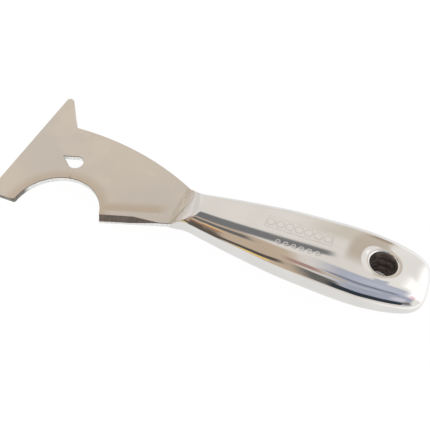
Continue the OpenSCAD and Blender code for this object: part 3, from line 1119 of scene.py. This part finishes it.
def ring_weld_mesh():
    """Ring weld round the sleeve, from the sleeve's lip up to the handle's face."""
    inner, outer = SLEEVE_HIGH.x, RING_HIGH.x
    foot = SLEEVE_HIGH.z - 2 * MM
    bm = bmesh.new()
    steps = 9

    def ring(radius, drop):
        def point(place):
            x, y = radius * math.cos(math.tau * place), radius * math.sin(math.tau * place)
            return Vector((x, y, foot if drop else face_height(x, y)))
        return point

    rings = [ring(outer, True)]
    rings += [ring(outer + (inner - outer) * i / steps, False) for i in range(steps + 1)]
    rings += [ring(inner, True), ring(outer, True)]
    loft(bm, 160, rings)
    bmesh.ops.remove_doubles(bm, verts=bm.verts, dist=MERGE)
    for face in bm.faces:
        face.smooth = True
    bmesh.ops.recalc_face_normals(bm, faces=bm.faces)
    return bm


class HIVE_OT_hang_hole(bpy.types.Operator):
    """Make the sleeve of the hang hole and the two ring welds round it"""

    bl_idname = "hive.hang_hole"
    bl_label = "Hang hole"

    def execute(self, context):
        hole = sizes("hive_hole")
        bm = bmesh.new()
        wall_x, top = SLEEVE_HIGH.x, SLEEVE_HIGH.z
        lip = hole.lip_r
        points = [Vector((wall_x, 0, top))]
        points += [Vector((hole.bore_r + lip + lip * math.cos(a), 0, top - lip + lip * math.sin(a)))
                   for a in (math.radians(90 + 9 * i) for i in range(11))]
        points += [Vector((p.x, 0, -p.z)) for p in reversed(points)]
        closed_line(bm, points)
        bmesh.ops.spin(bm, geom=bm.verts[:] + bm.edges[:], cent=(0, 0, 0), axis=(0, 0, 1),
                       angle=math.tau, steps=128, use_merge=True)
        bmesh.ops.remove_doubles(bm, verts=bm.verts, dist=MERGE)
        bmesh.ops.recalc_face_normals(bm, faces=bm.faces)
        for vert in bm.verts:
            vert.co.z *= lip_height(vert.co.x) / SLEEVE_HIGH.z
        for face in bm.faces:
            face.smooth = True
        finish_piece("hole_sleeve", bm, [shaded_bore_steel()], ["hang_sleeve"], 60)
        steel = bpy.data.materials["Polished steel"]
        finish_piece("front_ring_weld", ring_weld_mesh(), [steel],
                     ["sleeve_weld_front"])
        finish_piece("rear_ring_weld", mirrored(ring_weld_mesh()), [steel],
                     ["sleeve_weld_rear"])
        return {"FINISHED"}


# Studio: what stands round the tool, as places along its length and tilts round it, in
# degrees. Tilt 0 is the horizon in front, 90 is overhead and 180 the horizon behind.
PANELS = (
    # along, tilt, half along, half tilt, lean, taper, softness along, softness of tilt, colour
    ("warm light behind", 44, 160, 34, 64, 0, 0, 8, 8, (0.95, 0.925, 0.893)),
    ("tan wall in front", -27, 50, 20, 44, 0, 0, 5, 5, (0.62, 0.50, 0.385)),
    ("light in front at the butt", 66, 45, 14, 42, 0, 0, 6, 6, (0.95, 0.94, 0.92)),
    ("dusky cloth", 24, 65, 25, 33, 0, 0, 13, 5, (0.43, 0.455, 0.56)),
    ("pale fold", 31, 59, 6, 9, 0, 0, 6, 5, (0.70, 0.70, 0.79)),
    ("cloth light", 24, 88, 20, 7, 0, 0, 14, 6, (0.55, 0.58, 0.70)),
    ("thin shadow", 12, 78, 14, 2.4, 0.1, 0, 6, 2.5, (0.22, 0.23, 0.29)),
    ("thin light", 9, 68, 8, 1.6, 0.2, 0, 4, 3, (0.62, 0.64, 0.72)),
    ("grey panel", -4, 33, 4.6, 20, 0, 0, 4, 4, (0.17, 0.165, 0.155)),
    ("dark card", 17, 30, 20, 12, 0.12, 0, 3, 3, (0.035, 0.045, 0.06)),
    ("end of the card", 42, 42, 6, 7, 0, 0, 4, 4, (0.19, 0.18, 0.155)),
    ("dusky edge", 46, 29, 9, 6, 0, 0, 4, 4, (0.27, 0.29, 0.36)),
    ("slanting shadow", -22, 27, 10, 8, 1.6, 0, 4, 4, (0.10, 0.09, 0.08)),
    ("dark corner", -33, 20, 6, 34, 0, 0, 4, 4, (0.13, 0.11, 0.09)),
    ("red line", -29, 51, 4, 4, 1.5, 0, 3, 3, (0.42, 0.20, 0.13)),
    ("grey fold", -24, 76, 7, 5.5, 1.0, 0, 3, 3, (0.15, 0.15, 0.16)),
    ("small lamp", -25.5, 65, 1.6, 1.6, 1.6, 0, 1.5, 1.5, (1.1, 0.66, 0.16)),
    ("warm lamp", -20, 15, 3.2, 3.4, 1.6, 0, 1.5, 1.5, (1.15, 0.82, 0.13)),
    ("red cloth", -6.5, 67, 3.4, 6, 0, 0, 3, 3, (0.45, 0.29, 0.26)),
    ("tan line", 0, 68, 4, 2.5, 0, 0, 2.5, 2.5, (0.62, 0.50, 0.36)),
    ("grey strip", -15, 105.5, 15, 8.5, 0.72, 0.6, 3, 4, (0.21, 0.213, 0.22)),
    ("tan haze behind", 2.5, 165, 7, 28, 0, 0, 9, 14, (0.74, 0.68, 0.60)),
    ("tan post behind", 6.6, 157, 3.2, 38, 0, 0, 2.5, 16, (0.63, 0.55, 0.465)),
    ("darker post behind", 7.2, 178, 2.6, 13, 0, 0, 2, 12, (0.40, 0.325, 0.25)),
    ("low tan wall behind", -10, 184, 18, 7, 0, 0, 12, 12, (0.76, 0.71, 0.64)),
    ("soft box", 66, 148, 32, 66, 0, 0, 14, 10, (1.35, 1.35, 1.35)),
    ("soft box shoulder", 46, 116, 22, 11, 0, 0, 8, 6, (1.3, 1.3, 1.3)),
    ("pink cloth", 44, 84, 6, 6, 0, 0, 3, 3, (1.0, 0.72, 0.78)),
)
OPEN_LIGHT = (0.876, 0.838, 0.797)


def build_world():
    """Light from all round: pale, with the panels of the studio in it, and white to the eye."""
    world = bpy.data.worlds.new("Studio")
    bpy.context.scene.world = world
    studio = Nodes(world, "ShaderNodeOutputWorld", "Generated")
    x, y, z = studio.split(studio.place)
    along = studio.math("DEGREES", studio.math("ARCSINE", x))
    tilt = studio.math("DEGREES", studio.math("ARCTAN2", z, studio.math("MULTIPLY", y, -1.0)))
    behind = studio.math("LESS_THAN", tilt, -90.0)
    tilt = studio.math("ADD", tilt, studio.math("MULTIPLY", behind, 360.0))
    light = OPEN_LIGHT
    for _, mid_along, mid_tilt, half_along, half_tilt, lean, taper, soft_a, soft_t, panel in PANELS:
        off_along = studio.math("SUBTRACT", along, mid_along)
        lifted = studio.math("SUBTRACT", tilt, studio.math("MULTIPLY", off_along, lean))
        off_tilt = studio.math("ABSOLUTE", studio.math("SUBTRACT", lifted, mid_tilt))
        narrowed = studio.math("MULTIPLY", off_along, taper * half_tilt / half_along)
        off_tilt = studio.math("ADD", off_tilt, narrowed)
        edge_a = studio.spread(studio.math("ABSOLUTE", off_along), half_along - soft_a / 2,
                               half_along + soft_a / 2, 1, 0)
        edge_t = studio.spread(off_tilt, half_tilt - soft_t / 2, half_tilt + soft_t / 2, 1, 0)
        light = studio.mix(studio.math("MULTIPLY", edge_a, edge_t), light, panel)
    room = studio.tree.nodes.new("ShaderNodeBackground")
    studio.link(light, room.inputs["Color"])
    white = studio.tree.nodes.new("ShaderNodeBackground")
    path = studio.tree.nodes.new("ShaderNodeLightPath")
    both = studio.tree.nodes.new("ShaderNodeMixShader")
    studio.link(path.outputs["Is Camera Ray"], both.inputs["Fac"])
    studio.tree.links.new(room.outputs[0], both.inputs[1])
    white.inputs["Color"].default_value = (1, 1, 1, 1)
    studio.tree.links.new(white.outputs[0], both.inputs[2])
    studio.tree.links.new(both.outputs[0], studio.output.inputs["Surface"])


def floor_finish():
    """Pale floor that is nearly white to the eye and in the metal, keeps the shadow, and glows brighter
    than white past the butt as painted light.
    """
    finish = Finish("Floor")
    cloud = finish.noise(finish.place, 3, 2, 0.5)
    shader = finish.tree.nodes.new("ShaderNodeBsdfDiffuse")
    glow = finish.tree.nodes.new("ShaderNodeEmission")
    path = finish.tree.nodes.new("ShaderNodeLightPath")
    seen = finish.math("ADD", path.outputs["Is Camera Ray"],
                       finish.math("ADD", path.outputs["Is Glossy Ray"],
                                   path.outputs["Is Transmission Ray"]), clamp=True)
    both = finish.tree.nodes.new("ShaderNodeMixShader")
    veil = sizes("hive_studio").floor_veil
    x, y, _ = finish.split(finish.place)
    away = finish.away(x, y)
    # Painted light: past the butt the floor glows up to 1.2, in reflections and to the eye
    beyond = finish.spread(x, 15 * MM, 60 * MM, 0.93, 1.2)
    strength = finish.math("MAXIMUM", beyond, finish.math("MULTIPLY", path.outputs["Is Camera Ray"], 1.04))
    finish.link(strength, glow.inputs["Strength"])
    open_floor = finish.spread(away, 7 * MM, 11 * MM, 0, veil)
    pale = finish.mix(cloud, (0.86, 0.86, 0.86), (0.90, 0.90, 0.90))
    finish.link(pale, shader.inputs["Color"])
    finish.link(finish.math("MULTIPLY", seen, open_floor), both.inputs["Fac"])
    finish.tree.links.new(shader.outputs[0], both.inputs[1])
    finish.tree.links.new(glow.outputs[0], both.inputs[2])
    finish.tree.links.new(both.outputs[0], finish.output.inputs["Surface"])
    return finish.material


class HIVE_OT_stage(bpy.types.Operator):
    """Set up the floor, the light and the camera"""

    bl_idname = "hive.stage"
    bl_label = "Stage"

    def execute(self, context):
        scene = context.scene
        scene.view_settings.view_transform = "Standard"
        build_world()
        mesh = bpy.data.meshes.new("floor")
        bm = bmesh.new()
        bmesh.ops.create_grid(bm, x_segments=1, y_segments=1, size=1.5)
        bmesh.ops.translate(bm, verts=bm.verts, vec=(0, 0, CAD_BOX[0].z - 0.02 * MM))
        bm.to_mesh(mesh)
        bm.free()
        floor = bpy.data.objects.new("floor", mesh)
        mesh.materials.append(floor_finish())
        scene.collection.objects.link(floor)
        self.add_soft_box(scene, "key", Vector((0.45, 0.55, 0.75)), 0.5, 1.6)
        self.add_soft_box(scene, "fill", Vector((-0.6, 0.5, 0.9)), 0.6, 1.2)
        self.add_camera(scene)
        return {"FINISHED"}

    def add_soft_box(self, scene, name, place, width, power):
        data = bpy.data.lights.new(name, "AREA")
        data.shape = "DISK"
        data.size = width
        data.energy = power
        lamp = bpy.data.objects.new(name, data)
        lamp.location = place
        lamp.rotation_mode = "QUATERNION"
        lamp.rotation_quaternion = (Vector((-0.08, 0, 0)) - place).to_track_quat("-Z", "Y")
        lamp.visible_camera = False
        lamp.visible_glossy = False
        scene.collection.objects.link(lamp)

    def add_camera(self, scene):
        studio = sizes("hive_studio")
        a, e = studio.azimuth, studio.elevation
        back = Vector((math.sin(a) * math.cos(e), -math.cos(a) * math.cos(e), math.sin(e)))
        right = Vector((math.cos(a), math.sin(a), 0))
        up = back.cross(right)
        c, s = math.cos(studio.roll), math.sin(studio.roll)
        across, above = right * c + up * s, up * c - right * s
        place = Vector((studio.target_x, studio.target_y, 0)) + back * studio.distance
        data = bpy.data.cameras.new("camera")
        data.sensor_width = 36
        data.lens = studio.lens
        data.clip_start = 0.01
        data.clip_end = 20
        camera = bpy.data.objects.new("camera", data)
        turn = Matrix((across, above, back)).transposed().to_4x4()
        camera.matrix_world = Matrix.Translation(place) @ turn
        scene.collection.objects.link(camera)
        scene.camera = camera


class HIVE_PT_tool(bpy.types.Panel):
    """Lists the pieces of the hive tool"""

    bl_idname = "HIVE_PT_tool"
    bl_label = "Hive Tool"
    bl_space_type = "VIEW_3D"
    bl_region_type = "UI"
    bl_category = "Hive Tool"

    def draw(self, context):
        for operator in OPERATORS:
            self.layout.operator(operator.bl_idname)


GROUPS = {
    "hive_blade": BladeSizes,
    "hive_handle": HandleSizes,
    "hive_hole": HangHoleSizes,
    "hive_finish": Finishes,
    "hive_studio": StudioSettings,
}
OPERATORS = (HIVE_OT_blade, HIVE_OT_shells, HIVE_OT_seam, HIVE_OT_neck_welds, HIVE_OT_hang_hole,
             HIVE_OT_stage)


def register():
    for group in GROUPS.values():
        bpy.utils.register_class(group)
    for operator in OPERATORS:
        bpy.utils.register_class(operator)
    bpy.utils.register_class(HIVE_PT_tool)
    for name, group in GROUPS.items():
        setattr(bpy.types.Scene, name, PointerProperty(type=group))


def unregister():
    for name in GROUPS:
        delattr(bpy.types.Scene, name)
    bpy.utils.unregister_class(HIVE_PT_tool)
    for operator in reversed(OPERATORS):
        bpy.utils.unregister_class(operator)
    for group in reversed(GROUPS.values()):
        bpy.utils.unregister_class(group)


def main():
    register()
    bpy.ops.hive.stage()
    bpy.ops.hive.blade()
    bpy.ops.hive.shells()
    bpy.ops.hive.seam()
    bpy.ops.hive.neck_welds()
    bpy.ops.hive.hang_hole()


if __name__ == "__main__":
    main()
